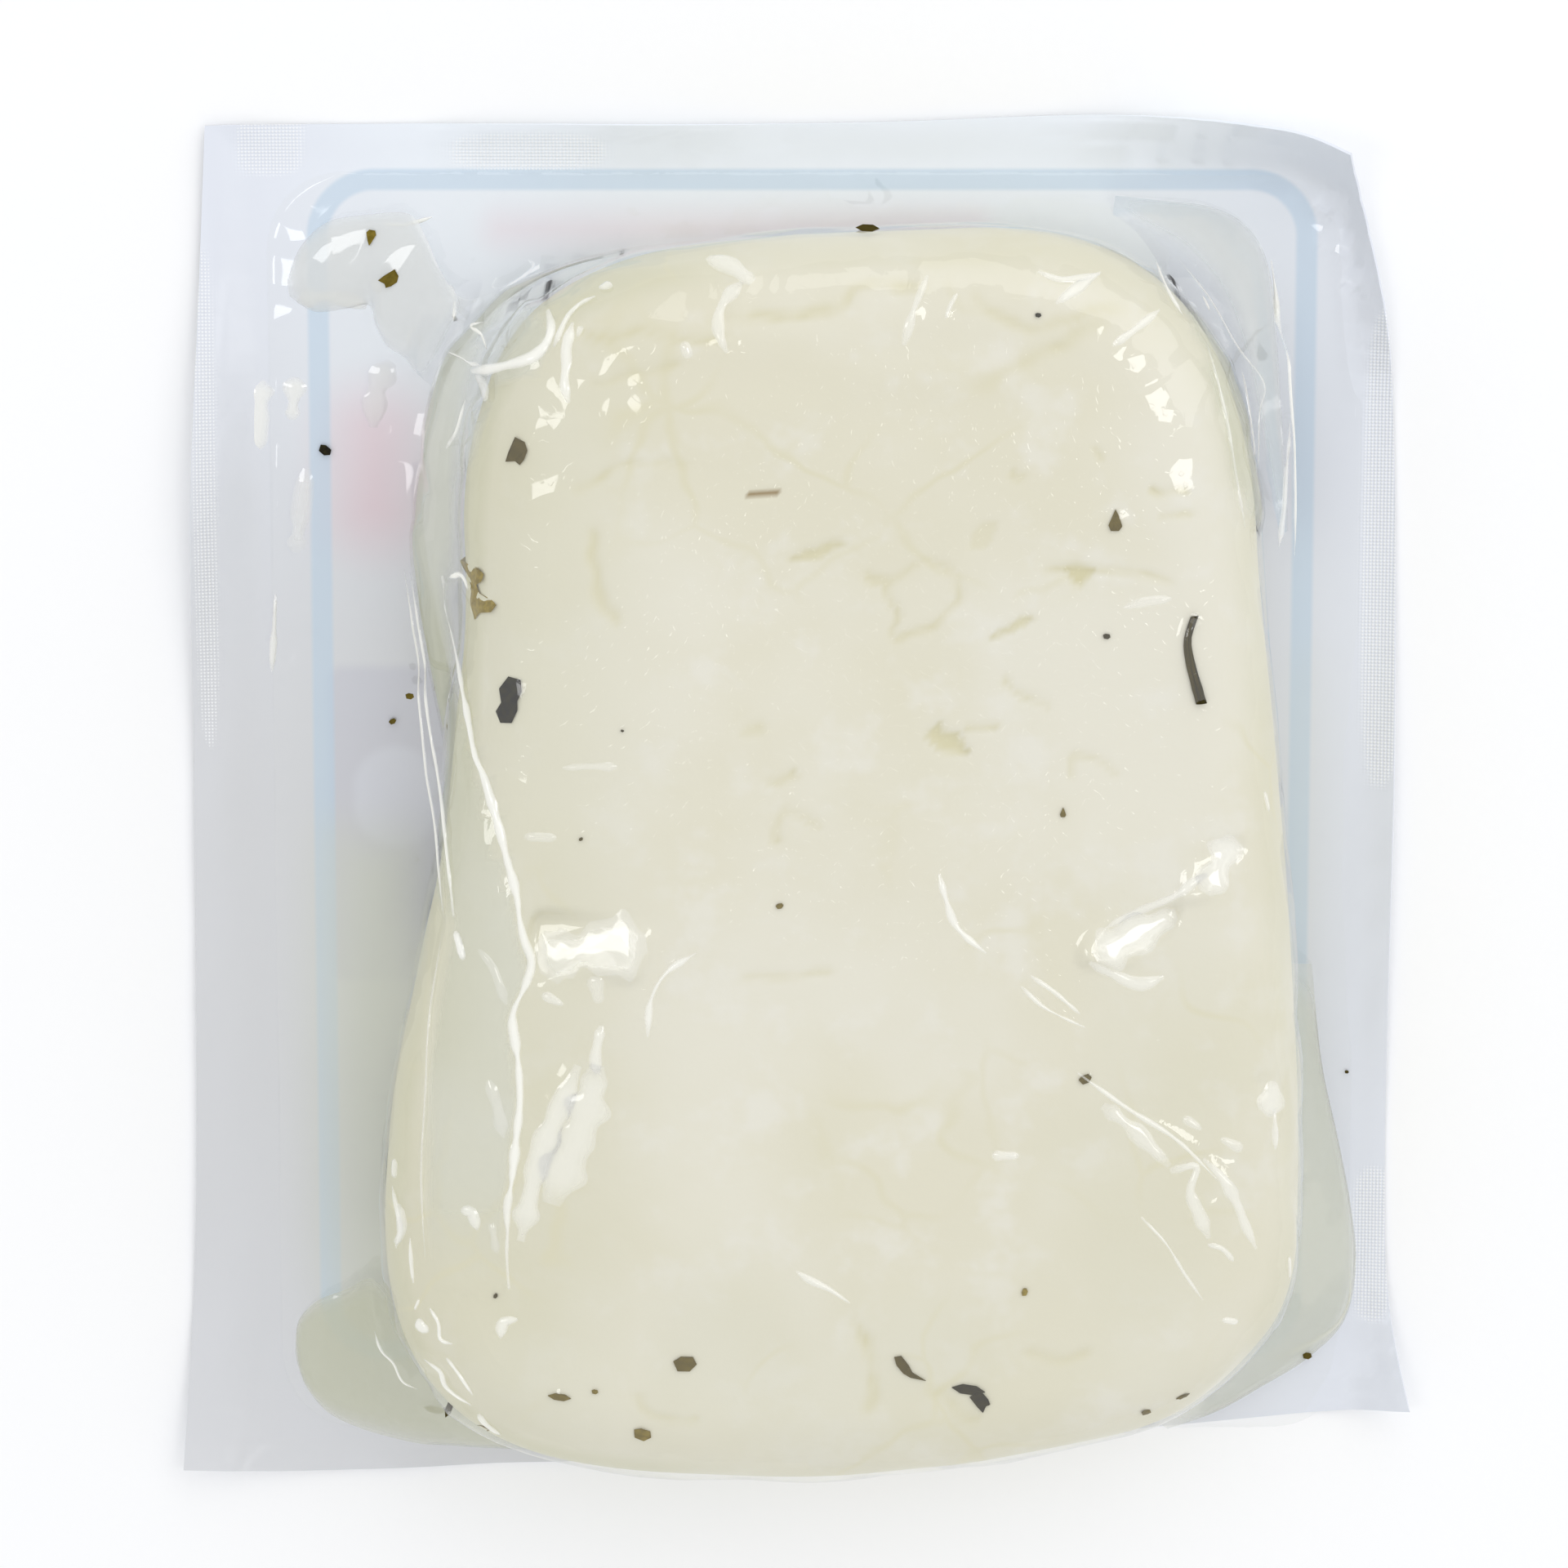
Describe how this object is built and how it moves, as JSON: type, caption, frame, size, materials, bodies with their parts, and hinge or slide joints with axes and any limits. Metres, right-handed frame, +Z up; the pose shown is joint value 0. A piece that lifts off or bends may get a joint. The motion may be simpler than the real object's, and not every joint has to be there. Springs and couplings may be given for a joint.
{
  "type": "vacuum pack of halloumi",
  "caption": "Clear vacuum pack of halloumi on a flat printed backing film, its block of cheese in a little whey, with a thin welded border.",
  "frame": {"origin": "middle of the pack's footprint, on the surface that it lies on", "axes": "+X along the pack's width, +Y along its length, +Z up from the backing film to the cheese"},
  "size_m": [0.1316, 0.1468, 0.0253],
  "materials": {
    "printed_film": "white printed backing film, glossy, seen through its clear sealing layer",
    "cheese": "moist cream cheese, soft and slightly see-through",
    "clear_film": "clear glossy film drawn tight, with creases",
    "whey": "thin pale whey in the folds of the film",
    "mint": "dried mint leaf and stem, dark olive"
  },
  "bodies": {
    "root": {"backing_film": "printed_film", "filled_pocket": "cheese"}
  },
  "joints": []
}
